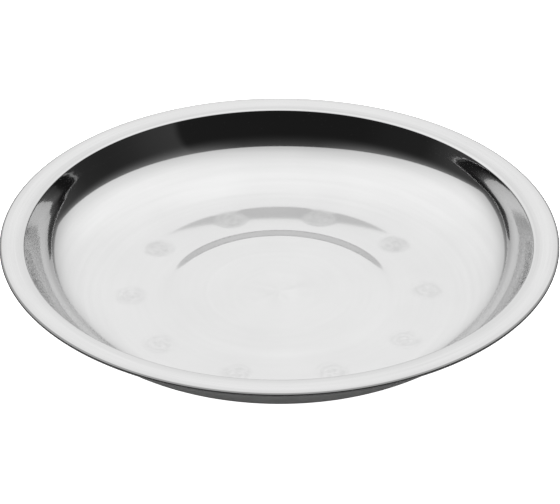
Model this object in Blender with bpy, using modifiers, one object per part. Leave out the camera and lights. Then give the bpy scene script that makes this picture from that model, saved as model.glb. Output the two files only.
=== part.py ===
"""Round magnetic tray for sorting small parts. Metres, +Z up, standing on z = 0.

A pressed stainless dish with a hemmed rim stands on ten magnetic feet. Under the floor, on one
pitch circle, ten threaded bosses are welded to the dish. Each carries a ring magnet, and a rubber
cup that a low-head screw clamps over the magnet. Where a boss is welded, the floor is ground to a
shallow round dimple.
"""

import math

import bpy

MM = 0.001

# Driving dimensions of the dish.
TRAY_RADIUS = 135.0 * MM
SHEET = 0.7 * MM
FLOOR_DEPTH = 32.5 * MM  # from the middle of the hem down to the top of the floor
HEM_HALF = 0.9 * MM  # half the thickness of the folded edge
HEM_LENGTH = 4.5 * MM  # how far the edge is folded back under the rim
RIM_FLAT_RADIUS = 124.0 * MM  # inner end of the flat rim
CREST_RADIUS = 1.8 * MM
WALL_SLOPE = math.radians(68.0)
FLOOR_RADIUS = 77.9 * MM  # where the flat floor ends and the curve to the wall starts
LOWER_CURVE_RADIUS = 49.4 * MM  # top side of that curve, up to the break
UPPER_CURVE_RADIUS = 39.5 * MM  # and from the break to the straight wall
CURVE_BREAK = math.radians(33.0)
STEP_OUTER_RADIUS = 59.0 * MM
STEP_INNER_RADIUS = 50.0 * MM
STEP_RISE = 1.15 * MM  # the middle of the floor stands this much higher

# Driving dimensions of the feet.
FOOT_COUNT = 10
FOOT_PITCH_RADIUS = 72.7 * MM
FOOT_TURN = math.radians(1.85)
FOOT_HEIGHT = 5.8 * MM
DIMPLE_RADIUS = 9.0 * MM
DIMPLE_DEPTH = 0.2 * MM
MAGNET_RADIUS = 9.0 * MM
MAGNET_HOLE_RADIUS = 3.5 * MM
MAGNET_THICKNESS = 3.0 * MM
CUP_WALL = 1.1 * MM
CUP_WEB = 0.6 * MM
CUP_CHAMFER = 0.6 * MM
CUP_HOLE_RADIUS = 2.3 * MM
COUNTERBORE_RADIUS = 5.3 * MM
COUNTERBORE_DEPTH = 1.6 * MM
BOSS_RADIUS = 3.2 * MM
BOSS_BORE_RADIUS = 2.2 * MM
BOSS_LENGTH = 2.7 * MM
SCREW_RADIUS = 1.9 * MM
SCREW_HEAD_RADIUS = 4.9 * MM
SCREW_HEAD_THICKNESS = 0.9 * MM
SCREW_HEAD_SIDE = 0.5 * MM
SCREW_HEAD_CROWN = 0.7 * MM  # how far the head's rounded end lies inside its side
SCREW_LENGTH = 3.6 * MM
GAP = 0.3 * MM  # between pieces that touch

# Levels and steps round the axis.
FLOOR_TOP = FOOT_HEIGHT + SHEET
HEM_LEVEL = FLOOR_TOP + FLOOR_DEPTH
DISH_STEPS = 64
FOOT_STEPS = 24
SCREW_STEPS = 16
MERGE = 0.00001


def clear_scene():
    for obj in list(bpy.data.objects):
        bpy.data.objects.remove(obj, do_unlink=True)


def new_collection(name):
    collection = bpy.data.collections.new(name)
    bpy.context.scene.collection.children.link(collection)
    return collection


def new_material(name, colour, roughness, metallic):
    material = bpy.data.materials.new(name)
    material.use_nodes = True
    material.diffuse_color = (*colour, 1.0)
    shader = material.node_tree.nodes["Principled BSDF"]
    shader.inputs["Base Color"].default_value = (*colour, 1.0)
    shader.inputs["Roughness"].default_value = roughness
    shader.inputs["Metallic"].default_value = metallic
    return material


def arc(centre, radius, start, end, count):
    """count + 1 points on an arc in the XZ plane, from angle start to end, both in radians from +X."""
    turns = [start + (end - start) * i / count for i in range(count + 1)]
    return [(centre[0] + radius * math.cos(a), centre[1] + radius * math.sin(a)) for a in turns]


def turned_mesh(name, profile, closed):
    """The profile's points (radius, height) as a chain of edges in the XZ plane."""
    count = len(profile)
    edges = [(i, i + 1) for i in range(count - 1)]
    if closed:
        edges.append((count - 1, 0))
    mesh = bpy.data.meshes.new(name)
    mesh.from_pydata([(radius, 0.0, height) for radius, height in profile], edges, [])
    return mesh


def add_screw(obj, steps):
    screw = obj.modifiers.new("Turn", "SCREW")
    screw.axis = "Z"
    screw.angle = math.tau
    screw.steps = steps
    screw.render_steps = steps
    screw.use_merge_vertices = True
    screw.merge_threshold = MERGE
    screw.use_smooth_shade = True


def add_object(name, mesh, collection, material, steps, parent=None):
    obj = bpy.data.objects.new(name, mesh)
    collection.objects.link(obj)
    obj.parent = parent
    if material is not None and not mesh.materials:
        mesh.materials.append(material)
    add_screw(obj, steps)
    return obj


def foot_places():
    """The centres of the feet: x and y, clockwise seen from above, from just left of +Y."""
    pitch = math.tau / FOOT_COUNT
    for index in range(FOOT_COUNT):
        bearing = (index - 0.5) * pitch - FOOT_TURN
        yield FOOT_PITCH_RADIUS * math.sin(bearing), FOOT_PITCH_RADIUS * math.cos(bearing)


def dish_profile():
    """The dish's upper side from the axis to the rim, then round the hem to its free edge."""
    middle = FLOOR_TOP + STEP_RISE
    points = [(0.0, middle), (STEP_INNER_RADIUS * 0.5, middle)]

    step_width = STEP_OUTER_RADIUS - STEP_INNER_RADIUS
    for share in (0.0, 0.2, 0.4, 0.6, 0.8, 1.0):
        fall = share * share * (3.0 - 2.0 * share)
        points.append((STEP_INNER_RADIUS + share * step_width, middle - fall * STEP_RISE))

    down = -math.pi / 2
    lower_centre = (FLOOR_RADIUS, FLOOR_TOP + LOWER_CURVE_RADIUS)
    points += arc(lower_centre, LOWER_CURVE_RADIUS, down, down + CURVE_BREAK, 5)
    lift = LOWER_CURVE_RADIUS - UPPER_CURVE_RADIUS
    upper_centre = (
        lower_centre[0] + lift * math.sin(CURVE_BREAK),
        lower_centre[1] - lift * math.cos(CURVE_BREAK),
    )
    points += arc(upper_centre, UPPER_CURVE_RADIUS, down + CURVE_BREAK, down + WALL_SLOPE, 5)[1:]

    rim_top = HEM_LEVEL + HEM_HALF
    crest_centre = (RIM_FLAT_RADIUS, rim_top - CREST_RADIUS)
    points += arc(crest_centre, CREST_RADIUS, math.pi / 2 + WALL_SLOPE, math.pi / 2, 3)

    hem_centre = (TRAY_RADIUS - HEM_HALF, HEM_LEVEL)
    points += arc(hem_centre, HEM_HALF, math.pi / 2, -math.pi / 2, 6)
    points.append((TRAY_RADIUS - HEM_HALF - HEM_LENGTH, HEM_LEVEL - HEM_HALF))
    return points


def dimple_profile():
    """A shallow bowl with its lowest point on the axis, closed above the floor."""
    shares = (1.0, 0.7, 0.35, 0.0)
    bowl = [(DIMPLE_RADIUS * s, DIMPLE_DEPTH * (s * s - 1.0)) for s in shares]
    top = STEP_RISE
    return [(0.0, top), (DIMPLE_RADIUS, top), *bowl]


def make_dish(parts, cutters, steel):
    mesh = turned_mesh("tray_dish", dish_profile(), closed=False)
    dish = add_object("tray_dish", mesh, parts, steel, DISH_STEPS)
    shell = dish.modifiers.new("Sheet", "SOLIDIFY")
    shell.thickness = SHEET
    shell.offset = -1.0
    shell.use_even_offset = True

    bowl = turned_mesh("dimple_cutter", dimple_profile(), closed=False)
    for index, (x, y) in enumerate(foot_places(), start=1):
        cutter = add_object(f"dimple_cutter_{index:02d}", bowl, cutters, None, FOOT_STEPS)
        cutter.location = (x, y, FLOOR_TOP)
        cutter.hide_render = True
        cutter.display_type = "WIRE"
    cut = dish.modifiers.new("Dimples", "BOOLEAN")
    cut.operation = "DIFFERENCE"
    cut.solver = "EXACT"
    cut.operand_type = "COLLECTION"
    cut.collection = cutters


def ring_profile(inner, outer, bottom, top):
    return [(inner, top), (outer, top), (outer, bottom), (inner, bottom)]


def cup_profile():
    """The rubber cup: a wall round the magnet, a web under it and a counterbore for the screw."""
    inner = MAGNET_RADIUS + GAP
    outer = inner + CUP_WALL
    top = FOOT_HEIGHT - GAP
    web_top = COUNTERBORE_DEPTH + CUP_WEB
    return [
        (inner, top),
        (outer, top),
        (outer, CUP_CHAMFER),
        (outer - CUP_CHAMFER, 0.0),
        (COUNTERBORE_RADIUS, 0.0),
        (COUNTERBORE_RADIUS, COUNTERBORE_DEPTH),
        (CUP_HOLE_RADIUS, COUNTERBORE_DEPTH),
        (CUP_HOLE_RADIUS, web_top),
        (inner, web_top),
    ]


def screw_profile():
    """The low-head screw, head down, on the axis."""
    seat = COUNTERBORE_DEPTH - GAP
    face = seat - SCREW_HEAD_THICKNESS
    return [
        (0.0, seat + SCREW_LENGTH),
        (SCREW_RADIUS, seat + SCREW_LENGTH),
        (SCREW_RADIUS, seat),
        (SCREW_HEAD_RADIUS, seat),
        (SCREW_HEAD_RADIUS, seat - SCREW_HEAD_SIDE),
        (SCREW_HEAD_RADIUS - SCREW_HEAD_CROWN, face),
        (0.0, face),
    ]


def make_feet(parts, zinc, nickel, rubber, weld_steel):
    top = FOOT_HEIGHT - GAP
    magnet = ring_profile(MAGNET_HOLE_RADIUS, MAGNET_RADIUS, top - MAGNET_THICKNESS, top)
    boss = ring_profile(BOSS_BORE_RADIUS, BOSS_RADIUS, top - BOSS_LENGTH, top)
    pieces = [
        ("rubber_cup", turned_mesh("rubber_cup", cup_profile(), closed=True), rubber, FOOT_STEPS),
        ("ring_magnet", turned_mesh("ring_magnet", magnet, closed=True), nickel, FOOT_STEPS),
        ("weld_boss", turned_mesh("weld_boss", boss, closed=True), weld_steel, SCREW_STEPS),
        ("cup_screw", turned_mesh("cup_screw", screw_profile(), closed=False), zinc, SCREW_STEPS),
    ]
    for index, (x, y) in enumerate(foot_places(), start=1):
        foot = bpy.data.objects.new(f"foot_{index:02d}", None)
        parts.objects.link(foot)
        foot.location = (x, y, 0.0)
        for name, mesh, material, steps in pieces:
            add_object(f"{name}_{index:02d}", mesh, parts, material, steps, foot)


def main():
    clear_scene()
    parts = new_collection("parts_sorting_tray")
    cutters = new_collection("cutters")
    steel = new_material("polished_stainless", (0.63, 0.63, 0.62), 0.08, 1.0)
    zinc = new_material("zinc_plated_steel", (0.55, 0.56, 0.58), 0.32, 1.0)
    nickel = new_material("nickel_plated_magnet", (0.62, 0.60, 0.56), 0.2, 1.0)
    rubber = new_material("black_rubber", (0.022, 0.022, 0.023), 0.75, 0.0)
    weld_steel = new_material("bare_stainless", (0.5, 0.5, 0.49), 0.4, 1.0)
    make_dish(parts, cutters, steel)
    make_feet(parts, zinc, nickel, rubber, weld_steel)


main()
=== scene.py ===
"""The looks of the round magnetic parts tray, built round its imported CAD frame. Metres, +Z up."""

import math

import bpy
import numpy as np
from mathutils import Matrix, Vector, noise


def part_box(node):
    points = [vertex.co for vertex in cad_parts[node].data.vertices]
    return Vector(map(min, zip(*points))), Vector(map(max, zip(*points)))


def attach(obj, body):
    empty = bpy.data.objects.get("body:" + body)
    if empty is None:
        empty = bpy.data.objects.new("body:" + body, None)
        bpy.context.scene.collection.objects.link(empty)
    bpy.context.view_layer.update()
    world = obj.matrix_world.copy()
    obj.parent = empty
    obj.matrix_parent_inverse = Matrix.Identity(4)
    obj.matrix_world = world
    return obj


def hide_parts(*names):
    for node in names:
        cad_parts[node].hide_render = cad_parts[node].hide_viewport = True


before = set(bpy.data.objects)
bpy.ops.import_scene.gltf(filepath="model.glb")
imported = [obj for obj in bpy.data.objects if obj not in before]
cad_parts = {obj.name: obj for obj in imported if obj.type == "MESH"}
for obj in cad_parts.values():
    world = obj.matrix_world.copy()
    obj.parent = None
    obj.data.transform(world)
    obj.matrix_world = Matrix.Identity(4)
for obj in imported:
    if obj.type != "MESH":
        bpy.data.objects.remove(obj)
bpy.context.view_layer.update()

MM = 0.001
dish_low, dish_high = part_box("tray_dish")
cup_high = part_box("rubber_cup_01")[1]
screw_low, screw_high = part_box("cup_screw_01")

# The dish, as part.py shapes it, at the height of its CAD box.
TRAY_RADIUS = dish_high.x
SHEET = 0.7 * MM
FLOOR_TOP = dish_low.z + SHEET
RIM_TOP = dish_high.z
HEM_HALF = 0.9 * MM
HEM_LEVEL = RIM_TOP - HEM_HALF
HEM_LENGTH = 4.5 * MM
RIM_FLAT_RADIUS = 124.0 * MM
CREST_RADIUS = 1.8 * MM
WALL_SLOPE = math.radians(68.0)
FLOOR_RADIUS = 77.9 * MM
LOWER_CURVE_RADIUS = 49.4 * MM
UPPER_CURVE_RADIUS = 39.5 * MM
CURVE_BREAK = math.radians(33.0)
STEP_OUTER_RADIUS = 59.0 * MM
STEP_INNER_RADIUS = 50.0 * MM
STEP_RISE = 1.15 * MM
DIMPLE_RADIUS = 9.0 * MM
DIMPLE_DEPTH = 0.11 * MM
DIMPLE_SOFTNESS = 0.35  # the higher, the more softly the dimple's edge fades
DISH_SEGMENTS = 384
WAVE_HEIGHT = 0.03 * MM  # how far the pressed sheet strays from true
WAVE_LENGTH = 45.0 * MM
WAVE_END = RIM_FLAT_RADIUS - 2 * CREST_RADIUS
WAVE_FADE = 20.0 * MM  # how far inside WAVE_END the waves start to die out
WALL_LEAN = 0.33 * MM  # the wall's top stands this far out on the left and in on the right
LEAN_START = FLOOR_TOP + 23.5 * MM
LEAN_FADE = 5.0 * MM  # how far over the flat rim the lean dies out

# The dish's finish: the lines' width, and how far they reach round their centre in radians.
FINE_LINE, FINE_REACH = 0.35 * MM, 0.5
BROAD_LINE, BROAD_REACH = 3.0 * MM, 0.8
SWIRL_LINE, SWIRL_REACH = 2.2 * MM, 0.9  # in the buffed spots
BUFFED_RADIUS = 36.0 * MM  # a faintly brighter disc in the middle of the floor
FAN_LENGTH = 30.0 * MM
CURVE_FADE = (82.0 * MM, 95.0 * MM)  # radii over which the floor's finish becomes the curve's
WALL_FADE = (100.0 * MM, 114.0 * MM)  # and the curve's becomes the wall's

# The feet.
FOOT_COUNT = 10
FOOT_PITCH_RADIUS = 72.7 * MM
FOOT_TURN = math.radians(1.85)
FOOT_PITCH = math.tau / FOOT_COUNT
CUP_OUTER = 10.4 * MM
CUP_INNER = 9.3 * MM
CUP_TOP = cup_high.z
CUP_WEB_TOP = 2.2 * MM
CUP_HOLE_RADIUS = 2.3 * MM
COUNTERBORE_RADIUS = 5.3 * MM
COUNTERBORE_DEPTH = 1.6 * MM
CUP_CHAMFER = 0.6 * MM
CUP_SEGMENTS = 144
GROOVE_RADII = (8.5 * MM, 7.0 * MM)  # two grip grooves in the foot face
GROOVE_HALF_MOUTH = 0.35 * MM
GROOVE_HALF_FLOOR = 0.2 * MM
GROOVE_DEPTH = 0.4 * MM
GRIP_RIBS = 24
GRIP_DEPTH = 0.16 * MM
GRIP_LOW = 0.9 * MM
GRIP_HIGH = CUP_TOP - 0.6 * MM
GRIP_FADE = 0.5 * MM  # over which the ribs die out at both their ends
SCREW_FACE = screw_low.z
SCREW_END = screw_high.z
SCREW_HEAD_RADIUS = 4.9 * MM
HEAD_EDGE_IN = 0.7 * MM  # the rounding of the head's edge, inwards and up
HEAD_EDGE_UP = 0.4 * MM
SCREW_SEAT = 1.3 * MM
SCREW_RADIUS = 1.9 * MM
THREAD_PITCH = 0.7 * MM
THREAD_DEPTH = 0.35 * MM
SOCKET_ACROSS_FLATS = 2.5 * MM
SOCKET_DEPTH = 0.6 * MM
SOCKET_MOUTH = 0.12 * MM  # the bevel round the socket
SOCKET_CONE = 0.15 * MM
SCREW_SEGMENTS = 72


# ---------------------------------------------------------------- node helpers

class Graph:
    """Short calls for the maths in a material's node tree. Values are numbers or sockets."""

    def __init__(self, tree):
        self.tree = tree

    def feed(self, socket, value):
        if isinstance(value, bpy.types.NodeSocket):
            self.tree.links.new(value, socket)
        else:
            socket.default_value = value

    def maths(self, operation, *values):
        node = self.tree.nodes.new("ShaderNodeMath")
        node.operation = operation
        for socket, value in zip(node.inputs, values):
            self.feed(socket, value)
        return node.outputs[0]

    def ramp(self, value, low, high, new_low, new_high):
        """value from low to high becomes new_low to new_high, held at both ends, softly bent."""
        node = self.tree.nodes.new("ShaderNodeMapRange")
        node.interpolation_type = "SMOOTHSTEP"
        for socket, given in zip(node.inputs, (value, low, high, new_low, new_high)):
            self.feed(socket, given)
        return node.outputs[0]

    def split(self, vector):
        node = self.tree.nodes.new("ShaderNodeSeparateXYZ")
        self.tree.links.new(vector, node.inputs[0])
        return node.outputs

    def join(self, x, y, z):
        node = self.tree.nodes.new("ShaderNodeCombineXYZ")
        for socket, value in zip(node.inputs, (x, y, z)):
            self.feed(socket, value)
        return node.outputs[0]

    def swing(self, value, size):
        """A noise from 0 to 1 becomes one of the same look about zero, size from end to end."""
        return self.maths("MULTIPLY", self.maths("SUBTRACT", value, 0.5), size)

    def noise(self, vector, scale, detail=2.0, roughness=0.5):
        node = self.tree.nodes.new("ShaderNodeTexNoise")
        self.tree.links.new(vector, node.inputs["Vector"])
        node.inputs["Scale"].default_value = scale
        node.inputs["Detail"].default_value = detail
        node.inputs["Roughness"].default_value = roughness
        return node.outputs["Fac"]

    def position(self):
        return self.tree.nodes.new("ShaderNodeTexCoord").outputs["Object"]

    def length(self, x, y):
        """The length of (x, y)."""
        squares = self.maths("ADD", self.maths("MULTIPLY", x, x), self.maths("MULTIPLY", y, y))
        return self.maths("SQRT", squares)

    def turned_position(self):
        """x, y and the distance from the piece's own axis."""
        x, y, _ = self.split(self.position())
        return x, y, self.length(x, y)

    def blend(self, share, first, second):
        """A colour between first and second, both (r, g, b)."""
        node = self.tree.nodes.new("ShaderNodeMix")
        node.data_type = "RGBA"
        self.feed(node.inputs["Factor"], share)
        node.inputs["A"].default_value = (*first, 1.0)
        node.inputs["B"].default_value = (*second, 1.0)
        return node.outputs["Result"]

    def bump(self, height, strength, distance):
        node = self.tree.nodes.new("ShaderNodeBump")
        node.inputs["Strength"].default_value = strength
        node.inputs["Distance"].default_value = distance
        self.tree.links.new(height, node.inputs["Height"])
        return node.outputs["Normal"]

    def rings(self, x, y, radius, width, reach):
        """Noise drawn out into arcs round the axis: width across, and reach along in radians."""
        along = self.join(
            self.maths("MULTIPLY", self.maths("DIVIDE", x, radius), 1.0 / reach),
            self.maths("MULTIPLY", self.maths("DIVIDE", y, radius), 1.0 / reach),
            self.maths("DIVIDE", radius, width),
        )
        return self.noise(along, 1.0)


def new_material(name, metallic):
    material = bpy.data.materials.new(name)
    material.use_nodes = True
    tree = material.node_tree
    shader = tree.nodes["Principled BSDF"]
    shader.inputs["Metallic"].default_value = metallic
    return material, Graph(tree), shader


# ---------------------------------------------------------------- materials

def buffed_spots(g, x, y, radius):
    """How far inside a spot a place is, from 0 to 1, and its swirl. All ten are folded onto one."""
    bearing = g.maths("ADD", g.maths("ARCTAN2", x, y), FOOT_TURN + FOOT_PITCH * FOOT_COUNT)
    index = g.maths("FLOOR", g.maths("DIVIDE", bearing, FOOT_PITCH))
    local = g.maths("SUBTRACT", g.maths("FLOORED_MODULO", bearing, FOOT_PITCH), FOOT_PITCH / 2)
    across = g.maths("MULTIPLY", radius, g.maths("SINE", local))
    outward = g.maths("MULTIPLY", radius, g.maths("COSINE", local))
    outward = g.maths("SUBTRACT", outward, FOOT_PITCH_RADIUS)
    away = g.length(across, outward)
    inside = g.ramp(away, 0.55 * DIMPLE_RADIUS, 1.12 * DIMPLE_RADIUS, 1.0, 0.0)
    seed = g.maths("MULTIPLY", index, 5.3)
    swirl = g.noise(g.join(
        g.maths("ADD", g.maths("DIVIDE", g.maths("DIVIDE", across, away), SWIRL_REACH), seed),
        g.maths("DIVIDE", g.maths("DIVIDE", outward, away), SWIRL_REACH),
        g.maths("DIVIDE", away, SWIRL_LINE),
    ), 1.0, 0.8)
    return inside, swirl


def painted_rim_shade(g, radius, rim):
    """How much darker the painted shade makes the rim: at its edge, a little beside it, and next to
    the crest.
    """
    beside = g.ramp(radius, TRAY_RADIUS - 4.5 * MM, TRAY_RADIUS - 1.5 * MM, 0.0, 0.08)
    edge = g.ramp(radius, TRAY_RADIUS - 1.4 * MM, TRAY_RADIUS - 0.7 * MM, 0.0, 0.52)
    brow = g.ramp(radius, RIM_FLAT_RADIUS - 0.5 * MM, RIM_FLAT_RADIUS + 4.5 * MM, 0.11, 0.0)
    return g.maths("ADD", g.maths("ADD", beside, edge), g.maths("MULTIPLY", brow, rim))


def polished_stainless():
    """Mirror-polished sheet: lines round the axis, ten buffed spots, a buffed centre with painted
    highlight fans, and painted shade at the rim.
    """
    material, g, shader = new_material("polished_stainless", 1.0)
    x, y, radius = g.turned_position()
    fine = g.rings(x, y, radius, FINE_LINE, FINE_REACH)
    broad = g.rings(x, y, radius, BROAD_LINE, BROAD_REACH)
    cloud = g.noise(g.position(), 30.0)

    # How much a place belongs to each part of the dish, from 0 to 1.
    facing = g.split(g.tree.nodes.new("ShaderNodeTexCoord").outputs["Normal"])[2]
    upper = g.ramp(facing, -0.1, 0.1, 0.0, 1.0)
    centre = g.ramp(radius, 5.0 * MM, 0.6 * BUFFED_RADIUS, 1.0, 0.0)
    rim = g.ramp(radius, RIM_FLAT_RADIUS - CREST_RADIUS, RIM_FLAT_RADIUS, 0.0, 1.0)
    wall = g.maths("SUBTRACT", g.ramp(radius, *WALL_FADE, 0.0, 1.0), rim)
    inside, swirl = buffed_spots(g, x, y, radius)
    spot = g.maths("MULTIPLY", inside, upper)

    # The buffed centre: faint fans of light and dark that fade outwards, painted highlight wedges
    # such as circular polish reflects.
    turn_x, turn_y = g.maths("DIVIDE", x, radius), g.maths("DIVIDE", y, radius)
    painted_highlight_fan = g.noise(g.join(turn_x, turn_y, g.maths("DIVIDE", radius, FAN_LENGTH)), 1.6)

    fine_size = g.maths("ADD", g.maths("MULTIPLY", rim, 0.45), 0.08)
    broad_size = g.ramp(radius, *CURVE_FADE, 0.12, 0.34)
    disc = g.ramp(radius, BUFFED_RADIUS - 0.4 * MM, BUFFED_RADIUS + 0.4 * MM, 0.03, 0.0)
    shade = g.maths("ADD", 0.5, g.swing(fine, fine_size))
    shade = g.maths("ADD", shade, g.swing(broad, broad_size))
    shade = g.maths("ADD", shade, g.swing(cloud, 0.25))
    shade = g.maths("ADD", shade, g.maths("MULTIPLY", centre, g.swing(painted_highlight_fan, 0.5)))
    shade = g.maths("ADD", shade, disc)
    mark = g.maths("ADD", 0.12, g.swing(swirl, 0.75))
    shade = g.maths("SUBTRACT", shade, g.maths("MULTIPLY", spot, mark))
    tone = g.maths("MULTIPLY_ADD", shade, 0.17, 0.515)
    # The rim's painted shade darkens the colour at the hem's edge, beside it and next to the crest.
    kept = g.maths("SUBTRACT", 1.0, painted_rim_shade(g, radius, rim))
    g.feed(shader.inputs["Base Color"], g.maths("MULTIPLY", tone, kept))

    # The spots and the centre are duller than the rest, and the underside isn't polished.
    rough = g.maths("ADD", 0.07, g.maths("MULTIPLY", fine, 0.04))
    for part, more in ((spot, 0.175), (rim, -0.02), (centre, 0.05), (wall, -0.03)):
        rough = g.maths("ADD", rough, g.maths("MULTIPLY", part, more))
    rough = g.maths("ADD", rough, g.maths("MULTIPLY_ADD", upper, -0.14, 0.14))
    g.feed(shader.inputs["Roughness"], rough)
    shader.inputs["Anisotropic"].default_value = 0.4
    tangent = g.tree.nodes.new("ShaderNodeTangent")
    tangent.direction_type = "RADIAL"
    tangent.axis = "Z"
    g.feed(shader.inputs["Tangent"], tangent.outputs[0])

    # The fine lines have some depth, though hardly any on the wall.
    depth = g.maths("SUBTRACT", 1.0, g.maths("MULTIPLY", wall, 0.85))
    g.feed(shader.inputs["Normal"], g.bump(g.maths("MULTIPLY", fine, depth), 0.35, 0.004 * MM))
    return material


def black_rubber():
    """Moulded rubber: fine matt grain, patchy bloom, and a foot face rubbed grey."""
    material, g, shader = new_material("black_rubber", 0.0)
    place = g.position()
    z = g.split(place)[2]
    grain = g.noise(place, 3500.0, 3.0, 0.7)
    bloom = g.noise(place, 160.0, 4.0, 0.6)
    foot = g.ramp(z, 0.05 * MM, 0.35 * MM, 1.0, 0.0)
    worn = g.maths("MULTIPLY", foot, g.ramp(bloom, 0.4, 0.65, 0.3, 1.0))
    share = g.maths("ADD", g.maths("MULTIPLY", bloom, 0.35), g.maths("MULTIPLY", worn, 0.6))
    g.feed(shader.inputs["Base Color"], g.blend(share, (0.014, 0.014, 0.015), (0.06, 0.06, 0.062)))
    g.feed(shader.inputs["Roughness"], g.ramp(bloom, 0.3, 0.7, 0.62, 0.85))
    shader.inputs["Specular IOR Level"].default_value = 0.4
    g.feed(shader.inputs["Normal"], g.bump(grain, 0.5, 0.03 * MM))
    return material


def plated_metal(name, dark, light, low_rough, high_rough, ring_width):
    """A turned metal piece: lines round its own axis under a slightly clouded surface."""
    material, g, shader = new_material(name, 1.0)
    x, y, radius = g.turned_position()
    lines = g.rings(x, y, radius, ring_width, 0.7)
    cloud = g.noise(g.position(), 420.0, 4.0, 0.6)
    share = g.maths("ADD", g.maths("MULTIPLY", cloud, 0.7), g.maths("MULTIPLY", lines, 0.3))
    g.feed(shader.inputs["Base Color"], g.blend(share, dark, light))
    g.feed(shader.inputs["Roughness"], g.ramp(cloud, 0.3, 0.7, low_rough, high_rough))
    g.feed(shader.inputs["Normal"], g.bump(g.maths("ADD", lines, cloud), 0.35, 0.01 * MM))
    return material


steel = polished_stainless()
rubber = black_rubber()
zinc = plated_metal(
    "zinc_plated_steel", (0.42, 0.43, 0.46), (0.68, 0.69, 0.70), 0.22, 0.42, 0.12 * MM)
nickel = plated_metal(
    "nickel_plated_magnet", (0.52, 0.50, 0.46), (0.70, 0.68, 0.63), 0.14, 0.30, 0.40 * MM)
weld_steel = plated_metal(
    "bare_stainless", (0.38, 0.37, 0.35), (0.60, 0.59, 0.57), 0.32, 0.50, 0.15 * MM)


# ---------------------------------------------------------------- turned shapes

def arc(centre, radius, start, end, count):
    """count + 1 points on an arc in the (radius, height) plane, angles from the radius axis."""
    angles = np.linspace(start, end, count + 1)
    return np.array(centre) + radius * np.stack([np.cos(angles), np.sin(angles)], 1)


def line(start, end, count):
    shares = np.linspace(0.0, 1.0, count + 1)[:, None]
    return np.array(start) * (1.0 - shares) + np.array(end) * shares


def chain(*runs):
    """Runs of points joined, each starting where the one before ended."""
    return np.concatenate([runs[0]] + [run[1:] for run in runs[1:]])


def rounded(corners, fillets, steps=4):
    """An outline of straight sides with each corner rounded by its own fillet."""
    points = []
    count = len(corners)
    for i, (corner, fillet) in enumerate(zip(corners, fillets)):
        here = np.array(corner)
        before = np.array(corners[i - 1]) - here
        after = np.array(corners[(i + 1) % count]) - here
        start = here + before / np.linalg.norm(before) * fillet
        end = here + after / np.linalg.norm(after) * fillet
        for t in np.linspace(0.0, 1.0, steps + 1):
            points.append((1 - t) ** 2 * start + 2 * t * (1 - t) * here + t * t * end)
    return np.array(points)


def turned(name, rings, turns, closed):
    """A mesh from rings of (radius, height) arrays, with one value for each of the turn angles."""
    segments = len(turns)
    vertices, loops = [], []
    for radii, heights in rings:
        if np.max(radii) < 1e-7:
            loops.append([len(vertices)] * segments)
            vertices.append((0.0, 0.0, float(np.mean(heights))))
            continue
        loops.append(range(len(vertices), len(vertices) + segments))
        vertices += list(zip(radii * np.sin(turns), radii * np.cos(turns), heights))
    pairs = list(zip(loops, loops[1:]))
    if closed:
        pairs.append((loops[-1], loops[0]))
    faces = []
    for first, second in pairs:
        for i in range(segments):
            j = (i + 1) % segments
            quad = [first[i], first[j], second[j], second[i]]
            faces.append([v for k, v in enumerate(quad) if v not in quad[:k]])
    mesh = bpy.data.meshes.new(name)
    mesh.from_pydata([tuple(map(float, v)) for v in vertices], [], faces)
    return mesh


def add_piece(name, mesh, place, material, node):
    """A finished piece that rides on the tray and stands for its CAD node."""
    mesh.materials.append(material)
    obj = bpy.data.objects.new(name, mesh)
    bpy.context.scene.collection.objects.link(obj)
    obj.location = place
    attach(obj, "root")
    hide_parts(node)


def foot_places():
    """The feet's numbers and centres, clockwise from above."""
    for index in range(FOOT_COUNT):
        bearing = (index - 0.5) * FOOT_PITCH - FOOT_TURN
        place = (FOOT_PITCH_RADIUS * math.sin(bearing), FOOT_PITCH_RADIUS * math.cos(bearing), 0.0)
        yield index + 1, place


# ---------------------------------------------------------------- the dish

def floor_height(radius):
    """Height of the floor's upper side: raised in the middle, with a soft step down."""
    width = STEP_OUTER_RADIUS - STEP_INNER_RADIUS
    share = np.clip((radius - STEP_INNER_RADIUS) / width, 0.0, 1.0)
    return FLOOR_TOP + STEP_RISE * (1.0 - share * share * (3.0 - 2.0 * share))


def dish_outline(fineness):
    """The sheet's upper face from the axis outwards and round the hem to its free edge."""
    def steps(count):
        return max(2, int(count * fineness))

    floor_radii = np.concatenate([
        np.linspace(0.0, STEP_INNER_RADIUS, steps(22)),
        np.linspace(STEP_INNER_RADIUS, STEP_OUTER_RADIUS, steps(16))[1:],
        np.linspace(STEP_OUTER_RADIUS, FLOOR_RADIUS, steps(28))[1:],
    ])
    floor = np.stack([floor_radii, floor_height(floor_radii)], 1)
    down = -math.pi / 2
    lower_centre = np.array([FLOOR_RADIUS, FLOOR_TOP + LOWER_CURVE_RADIUS])
    lower = arc(lower_centre, LOWER_CURVE_RADIUS, down, down + CURVE_BREAK, steps(34))
    towards = np.array([math.sin(CURVE_BREAK), -math.cos(CURVE_BREAK)])
    upper_centre = lower_centre + towards * (LOWER_CURVE_RADIUS - UPPER_CURVE_RADIUS)
    upper = arc(upper_centre, UPPER_CURVE_RADIUS, down + CURVE_BREAK, down + WALL_SLOPE, steps(24))
    crest_centre = (RIM_FLAT_RADIUS, RIM_TOP - CREST_RADIUS)
    crest = arc(crest_centre, CREST_RADIUS, math.pi / 2 + WALL_SLOPE, math.pi / 2, steps(12))
    hem_start = TRAY_RADIUS - HEM_HALF
    hem_end = (hem_start - HEM_LENGTH, HEM_LEVEL - HEM_HALF)
    return chain(
        floor, lower, upper,
        line(upper[-1], crest[0], steps(4)),
        crest,
        line(crest[-1], (hem_start, RIM_TOP), steps(6)),
        arc((hem_start, HEM_LEVEL), HEM_HALF, math.pi / 2, -math.pi / 2, steps(16)),
        line((hem_start, HEM_LEVEL - HEM_HALF), hem_end, steps(3)),
    )


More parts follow.
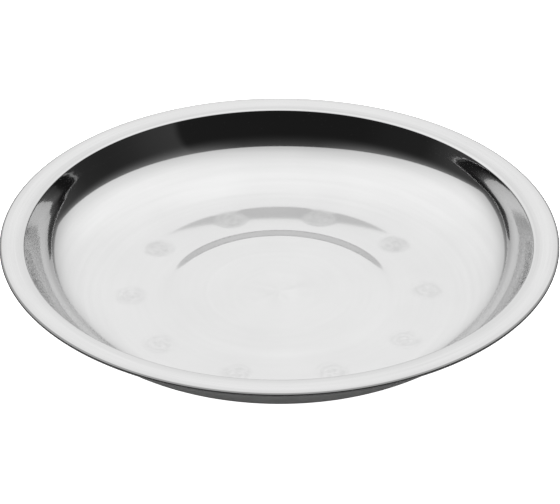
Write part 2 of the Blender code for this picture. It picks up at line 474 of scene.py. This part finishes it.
def underside(outline):
    """The sheet's other face, one thickness to the right of its outline."""
    ahead = np.gradient(outline, axis=0)
    ahead /= np.linalg.norm(ahead, axis=1)[:, None]
    inner = outline + np.stack([ahead[:, 1], -ahead[:, 0]], 1) * SHEET
    inner[0, 0] = 0.0
    return inner


def stray(x, y):
    """How far the pressed sheet strays from true at a place in plan, both faces alike."""
    spot = Vector((x / WAVE_LENGTH, y / WAVE_LENGTH, 0.0))
    return WAVE_HEIGHT * noise.noise(spot)


def lean(radius, height):
    """How far out of round the sheet is: most at the crest, less down the wall and outwards."""
    up = np.clip((height - LEAN_START) / (RIM_TOP - CREST_RADIUS - LEAN_START), 0.0, 1.0)
    out = np.clip((radius - RIM_FLAT_RADIUS) / LEAN_FADE, 0.0, 1.0)
    return WALL_LEAN * up * (1.0 - out)


def make_dish():
    """Waves and dimples change the rings' heights, and the lean moves them to one side."""
    outer = dish_outline(1.0)
    inner = underside(dish_outline(0.5))
    turns = np.arange(DISH_SEGMENTS) * math.tau / DISH_SEGMENTS
    feet = [place for _, place in foot_places()]
    rings = []
    for side, outline in (("top", outer), ("under", inner[::-1])):
        for radius, height in outline:
            x, y = radius * np.sin(turns), radius * np.cos(turns)
            heights = np.full(DISH_SEGMENTS, height)
            if radius < WAVE_END:
                fade = min(1.0, (WAVE_END - radius) / WAVE_FADE)
                heights += fade * np.array([stray(*place) for place in zip(x, y)])
            if side == "top" and radius < FLOOR_RADIUS + 2 * DIMPLE_RADIUS:
                for foot_x, foot_y, _ in feet:
                    share = np.hypot(x - foot_x, y - foot_y) / DIMPLE_RADIUS
                    bowl = 1.0 - share ** 2
                    heights -= DIMPLE_DEPTH / 2 * (bowl + np.hypot(bowl, DIMPLE_SOFTNESS))
            rings.append((radius - lean(radius, height) * np.sin(turns), heights))
    mesh = turned("tray_shell", rings, turns, closed=False)
    mesh.shade_smooth()
    mesh.set_sharp_from_angle(angle=math.radians(50.0))
    add_piece("tray_shell", mesh, (0.0, 0.0, 0.0), steel, "tray_dish")


# ---------------------------------------------------------------- the feet

def cup_outline():
    """Closed outline of the rubber cup, with two grip grooves in its foot and soft edges."""
    corners = [
        (CUP_INNER, CUP_TOP), (CUP_OUTER, CUP_TOP),
        (CUP_OUTER, CUP_CHAMFER), (CUP_OUTER - CUP_CHAMFER, 0.0),
    ]
    fillets = [0.25 * MM, 0.35 * MM, 0.3 * MM, 0.15 * MM]
    for middle in GROOVE_RADII:
        corners += [
            (middle + GROOVE_HALF_MOUTH, 0.0), (middle + GROOVE_HALF_FLOOR, GROOVE_DEPTH),
            (middle - GROOVE_HALF_FLOOR, GROOVE_DEPTH), (middle - GROOVE_HALF_MOUTH, 0.0),
        ]
        fillets += [0.1 * MM] * 4
    corners += [
        (COUNTERBORE_RADIUS, 0.0), (COUNTERBORE_RADIUS, COUNTERBORE_DEPTH),
        (CUP_HOLE_RADIUS, COUNTERBORE_DEPTH), (CUP_HOLE_RADIUS, CUP_WEB_TOP),
        (CUP_INNER, CUP_WEB_TOP),
    ]
    fillets += [0.3 * MM, 0.2 * MM, 0.12 * MM, 0.12 * MM, 0.3 * MM]
    return rounded(corners, fillets)


def make_cup(number, place):
    """A rubber cup with upright grip ribs round its side."""
    turns = np.arange(CUP_SEGMENTS) * math.tau / CUP_SEGMENTS
    ribs = 0.5 - 0.5 * np.cos(GRIP_RIBS * turns)
    rings = []
    outline = cup_outline()
    for low_point, high_point in zip(outline, np.roll(outline, -1, axis=0)):
        rings.append((np.full(CUP_SEGMENTS, low_point[0]), np.full(CUP_SEGMENTS, low_point[1])))
        # The one tall step is the cup's side, which has rings of its own for the ribs.
        tall = low_point[0] > CUP_OUTER - 0.01 * MM and low_point[1] - high_point[1] > 3.0 * MM
        for share in np.linspace(0.0, 1.0, 12)[1:-1] if tall else ():
            height = low_point[1] + share * (high_point[1] - low_point[1])
            inside = np.clip(min(height - GRIP_LOW, GRIP_HIGH - height) / GRIP_FADE, 0.0, 1.0)
            rings.append((CUP_OUTER - GRIP_DEPTH * inside * ribs, np.full(CUP_SEGMENTS, height)))
    mesh = turned("rubber_foot", rings, turns, closed=True)
    mesh.shade_smooth()
    mesh.set_sharp_from_angle(angle=math.radians(60.0))
    node = f"rubber_cup_{number:02d}"
    add_piece(f"rubber_foot_{number:02d}", mesh, place, rubber, node)


def make_screw(number, place):
    """A low-head screw, head down: hexagon socket, rounded head edge and a real thread."""
    turns = np.arange(SCREW_SEGMENTS) * math.tau / SCREW_SEGMENTS
    sector = math.tau / 6
    flats = SOCKET_ACROSS_FLATS / 2 / np.cos((turns + sector / 2) % sector - sector / 2)
    round_turn = np.ones(SCREW_SEGMENTS)
    rings = [(0.0 * round_turn, SCREW_END * round_turn)]
    root = SCREW_RADIUS - THREAD_DEPTH
    rings.append((root * round_turn, SCREW_END * round_turn))
    thread_low, thread_high = SCREW_SEAT + 0.5 * MM, SCREW_END - 0.2 * MM
    for height in np.arange(thread_high, thread_low, -THREAD_PITCH / 10):
        phase = (height / THREAD_PITCH - turns / math.tau) % 1.0
        tooth = 1.0 - np.abs(2.0 * phase - 1.0)
        fade = min(1.0, (thread_high - height) / THREAD_PITCH, (height - thread_low) / THREAD_PITCH)
        rings.append((root + THREAD_DEPTH * max(fade, 0.0) * tooth, height * round_turn))
    head = [
        (root, thread_low), (root, SCREW_SEAT), (SCREW_HEAD_RADIUS - 0.1 * MM, SCREW_SEAT),
        (SCREW_HEAD_RADIUS, SCREW_SEAT - 0.1 * MM), (SCREW_HEAD_RADIUS, SCREW_FACE + HEAD_EDGE_UP),
    ]
    rings += [(radius * round_turn, height * round_turn) for radius, height in head]
    for angle in np.linspace(0.0, math.pi / 2, 8)[1:]:
        radius = SCREW_HEAD_RADIUS - HEAD_EDGE_IN * (1.0 - math.cos(angle))
        height = SCREW_FACE + HEAD_EDGE_UP * (1.0 - math.sin(angle))
        rings.append((radius * round_turn, height * round_turn))
    socket_end = SCREW_FACE + SOCKET_DEPTH
    mouth_radius = SOCKET_ACROSS_FLATS / 2 * 1.25 + SOCKET_MOUTH
    rings.append((mouth_radius * round_turn, SCREW_FACE * round_turn))
    rings.append((flats + SOCKET_MOUTH * 0.5, SCREW_FACE * round_turn))
    rings.append((flats, (SCREW_FACE + SOCKET_MOUTH) * round_turn))
    rings.append((flats, socket_end * round_turn))
    rings.append((0.8 * flats.min() * round_turn, socket_end * round_turn))
    rings.append((0.0 * round_turn, (socket_end + SOCKET_CONE) * round_turn))
    mesh = turned("socket_screw", rings, turns, closed=False)
    mesh.shade_smooth()
    mesh.set_sharp_from_angle(angle=math.radians(35.0))
    node = f"cup_screw_{number:02d}"
    add_piece(f"socket_screw_{number:02d}", mesh, place, zinc, node)


def paint(node, material):
    """The CAD node keeps its shape and takes the material."""
    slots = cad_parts[node].data.materials
    slots.clear()
    slots.append(material)


make_dish()
for foot_number, foot_place in foot_places():
    make_cup(foot_number, foot_place)
    make_screw(foot_number, foot_place)
    paint(f"ring_magnet_{foot_number:02d}", nickel)
    paint(f"weld_boss_{foot_number:02d}", weld_steel)


# ---------------------------------------------------------------- stage

FLOOR_HALF = 7.0  # half a side of the studio floor
FLOOR_LEVEL = -0.1 * MM
GREY_CARD_HALF = 1.5
GREY_CARD_LEVEL = 0.2 * MM


def stage_object(name, mesh, material, seen_by_camera):
    """A stage piece. One that the camera doesn't see shows in reflections only."""
    mesh.materials.append(material)
    obj = bpy.data.objects.new(name, mesh)
    bpy.context.scene.collection.objects.link(obj)
    if not seen_by_camera:
        obj.visible_camera = False
        obj.visible_diffuse = False


def plane_mesh(name, half, height):
    mesh = bpy.data.meshes.new(name)
    corners = [(x * half, y * half, height) for x, y in ((-1, -1), (1, -1), (1, 1), (-1, 1))]
    mesh.from_pydata(corners, [], [(0, 1, 2, 3)])
    return mesh


def floor_paint():
    """Pale, with a glow of its own, so that it looks plain white."""
    material, _, shader = new_material("pale_floor", 0.0)
    shader.inputs["Emission Color"].default_value = (1.0, 1.0, 1.0, 1.0)
    shader.inputs["Emission Strength"].default_value = 1.1
    shader.inputs["Base Color"].default_value = (0.92, 0.92, 0.92, 1.0)
    shader.inputs["Roughness"].default_value = 1.0
    return material


def grey_paint():
    """Grey beside the tray and darker further out, to show in its outer side only."""
    material, g, shader = new_material("grey_card", 0.0)
    radius = g.turned_position()[2]
    share = g.ramp(radius, TRAY_RADIUS, 1.6 * TRAY_RADIUS, 0.0, 1.0)
    g.feed(shader.inputs["Base Color"], g.blend(share, (0.5, 0.5, 0.5), (0.165, 0.165, 0.165)))
    shader.inputs["Roughness"].default_value = 1.0
    return material


# The dark card and its veil. Bearings are degrees from straight behind the camera, + to the right.
# Heights are degrees up, as the tray sees them.
CARD_DISTANCE = 4.0
CARD_BEARINGS = (-176.0, 176.0)
CARD_COLUMNS = 108
CARD_TOP = 48.3
CARD_FALL = (0.74, 0.62)  # how fast the top comes down to the left and to the right
CARD_LEAST = 9.4  # the height of the strip that the card becomes at the sides
CARD_BACK = 120.0  # the bearing past which the strip rises again
CARD_BACK_RISE = 0.055  # its rise for each degree of bearing
CARD_ROWS = 11
# (bearing, brightness) of the card's lower part, on the left and on the right.
CARD_LEFT = (
    (0, 0.016), (40, 0.017), (50, 0.022), (70, 0.024), (84, 0.06), (100, 0.075),
    (120, 0.14), (140, 0.3), (176, 0.45),
)
CARD_RIGHT = (
    (0, 0.016), (46, 0.018), (48, 0.06), (60, 0.05), (72, 0.035), (84, 0.03), (100, 0.035),
    (118, 0.08), (140, 0.22), (176, 0.35),
)
CARD_PLAIN = 0.6  # share of the card's height, above which it becomes brighter
TOP_GLOW = 0.085  # how much brighter the card's top edge is behind the camera
TOP_GLOW_SIDE = 0.13  # and how much more than that at the sides
TOP_GLOW_BEARINGS = (20.0, 45.0)  # from none of TOP_GLOW_SIDE to all of it
VEIL_RISE = 26.0  # how far the veil stands above the card
VEIL_ROWS = 10
VEIL_COVER = 0.32  # how much of what is behind it the veil's foot hides, at most
VEIL_BEARINGS = (10.0, 60.0)  # from nothing to the most
VEIL_BACK_BEARINGS = (150.0, 175.0)  # from the most to VEIL_BACK_SHARE of it
VEIL_BACK_SHARE = 0.3


def slope(value, start, end):
    """0 at start to 1 at end, held at both."""
    return min(1.0, max(0.0, (value - start) / (end - start)))


def card_top(bearing):
    """Height of the card: highest behind the camera, down to a low strip all round."""
    fall = CARD_FALL[1] if bearing > 0.0 else CARD_FALL[0]
    least = CARD_LEAST + CARD_BACK_RISE * max(0.0, abs(bearing) - CARD_BACK)
    return max(CARD_TOP * math.cos(math.radians(bearing * fall)), least)


def card_glow(bearing, share):
    """Brightness at a share of the card's height: more at its top and its two ends."""
    places, values = zip(*(CARD_RIGHT if bearing > 0.0 else CARD_LEFT))
    plain = float(np.interp(abs(bearing), places, values))
    top = TOP_GLOW + TOP_GLOW_SIDE * slope(abs(bearing), *TOP_GLOW_BEARINGS)
    return plain + top * slope(share, CARD_PLAIN, 1.0) ** 2


def veil_cover(bearing, share):
    """How much the veil hides at a share of its height: less upwards, none behind the camera."""
    back = max(VEIL_BACK_SHARE, 1.0 - slope(abs(bearing), *VEIL_BACK_BEARINGS))
    side = slope(abs(bearing), *VEIL_BEARINGS) * back
    return VEIL_COVER * side * (1.0 - share) ** 1.5


def make_dark_card():
    """A dark curved cloth round the stage with a thin veil above it, to show in the steel only."""
    card_shares = np.linspace(0.0, 1.0, CARD_ROWS + 1)
    veil_shares = np.linspace(0.0, 1.0, VEIL_ROWS + 1)
    vertices, glows, covers, faces = [], [], [], []
    for bearing in np.linspace(*CARD_BEARINGS, CARD_COLUMNS + 1):
        top = card_top(bearing)
        rises = [top * share for share in card_shares]
        rises += [top + VEIL_RISE * share for share in veil_shares]
        glows += [card_glow(bearing, share) for share in card_shares]
        glows += [card_glow(bearing, 1.0)] * len(veil_shares)
        covers += [1.0] * len(card_shares) + [veil_cover(bearing, share) for share in veil_shares]
        x = CARD_DISTANCE * math.sin(math.radians(bearing))
        y = -CARD_DISTANCE * math.cos(math.radians(bearing))
        vertices += [(x, y, CARD_DISTANCE * math.tan(math.radians(rise))) for rise in rises]
    tall = len(card_shares) + len(veil_shares)
    for column in range(CARD_COLUMNS):
        for row in range(tall - 1):
            first = column * tall + row
            # The card's top and the veil's foot lie together, so no face joins them.
            if row != CARD_ROWS:
                faces.append((first, first + tall, first + tall + 1, first + 1))
    mesh = bpy.data.meshes.new("dark_card")
    mesh.from_pydata(vertices, [], faces)
    for name, values in (("glow", glows), ("cover", covers)):
        mesh.attributes.new(name, "FLOAT", "POINT").data.foreach_set("value", values)
    stage_object("dark_card", mesh, card_paint(), False)


def card_paint():
    """Gives off the mesh's "glow", and is as solid as its "cover" says."""
    material = bpy.data.materials.new("dark_card")
    material.use_nodes = True
    tree = material.node_tree
    tree.nodes.clear()
    glow = tree.nodes.new("ShaderNodeAttribute")
    glow.attribute_name = "glow"
    cover = tree.nodes.new("ShaderNodeAttribute")
    cover.attribute_name = "cover"
    clear = tree.nodes.new("ShaderNodeBsdfTransparent")
    emission = tree.nodes.new("ShaderNodeEmission")
    mix = tree.nodes.new("ShaderNodeMixShader")
    output = tree.nodes.new("ShaderNodeOutputMaterial")
    tree.links.new(glow.outputs["Fac"], emission.inputs["Strength"])
    tree.links.new(cover.outputs["Fac"], mix.inputs["Fac"])
    tree.links.new(clear.outputs[0], mix.inputs[1])
    tree.links.new(emission.outputs[0], mix.inputs[2])
    tree.links.new(mix.outputs[0], output.inputs[0])
    return material


WORLD_STRENGTH = 1.3
WORLD_LOW = 0.55  # share of the strength at the horizon
WORLD_LOW_TOP = 0.38  # sine of the height from which the strength is full
# (place, strength) from the horizon on the camera's side, at 0, to the one at the back, at 1.
WORLD_STOPS = (
    (0.0, 0.60), (0.18, 0.67), (0.23, 0.87), (0.30, 0.98), (0.36, 1.04),
    (0.54, 1.10), (0.68, 1.08), (0.80, 1.02), (0.92, 0.99),
)


def make_world():
    """Soft studio light: full at the back and above, weaker over the camera and low down."""
    world = bpy.data.worlds.new("studio")
    world.use_nodes = True
    tree = world.node_tree
    g = Graph(tree)
    _, y, z = g.split(tree.nodes.new("ShaderNodeTexCoord").outputs["Generated"])
    over = tree.nodes.new("ShaderNodeValToRGB")
    for index, (place, value) in enumerate(WORLD_STOPS):
        element = over.color_ramp.elements[0] if index == 0 else over.color_ramp.elements.new(place)
        element.position = place
        element.color = (value, value, value, 1.0)
    over.color_ramp.elements.remove(over.color_ramp.elements[-1])
    g.feed(over.inputs[0], g.maths("MULTIPLY_ADD", y, 0.5, 0.5))
    low = g.ramp(z, 0.0, WORLD_LOW_TOP, WORLD_LOW, 1.0)
    background = tree.nodes["Background"]
    background.inputs["Color"].default_value = (1.0, 1.0, 1.0, 1.0)
    light = g.maths("MULTIPLY", over.outputs[0], low)
    g.feed(background.inputs["Strength"], g.maths("MULTIPLY", light, WORLD_STRENGTH))
    bpy.context.scene.world = world


floor_mesh = plane_mesh("studio_floor", FLOOR_HALF, FLOOR_LEVEL)
stage_object("studio_floor", floor_mesh, floor_paint(), True)
grey_mesh = plane_mesh("grey_card", GREY_CARD_HALF, GREY_CARD_LEVEL)
stage_object("grey_card", grey_mesh, grey_paint(), False)
make_dark_card()
make_world()
bpy.context.scene.view_settings.view_transform = "Standard"
bpy.context.scene.cycles.glossy_bounces = 12  # the side walls mirror each other many times


# ---------------------------------------------------------------- camera

CAMERA_DISTANCE = 11.3 * TRAY_RADIUS
CAMERA_ELEVATION = math.radians(32.2)
CAMERA_LENS = 202.3
AIM_FROM_HEM = Vector((0.0019, 0.0, -0.0656)) * TRAY_RADIUS  # from the middle of the hem's circle
aim = AIM_FROM_HEM + Vector((0.0, 0.0, HEM_LEVEL))
away = Vector((0.0, -math.cos(CAMERA_ELEVATION), math.sin(CAMERA_ELEVATION)))
camera_data = bpy.data.cameras.new("camera")
camera_data.sensor_width = 36.0
camera_data.lens = CAMERA_LENS
camera = bpy.data.objects.new("camera", camera_data)
camera.location = aim + away * CAMERA_DISTANCE
camera.rotation_mode = "QUATERNION"
camera.rotation_quaternion = (-away).to_track_quat("-Z", "Y")
bpy.context.scene.collection.objects.link(camera)
bpy.context.scene.camera = camera
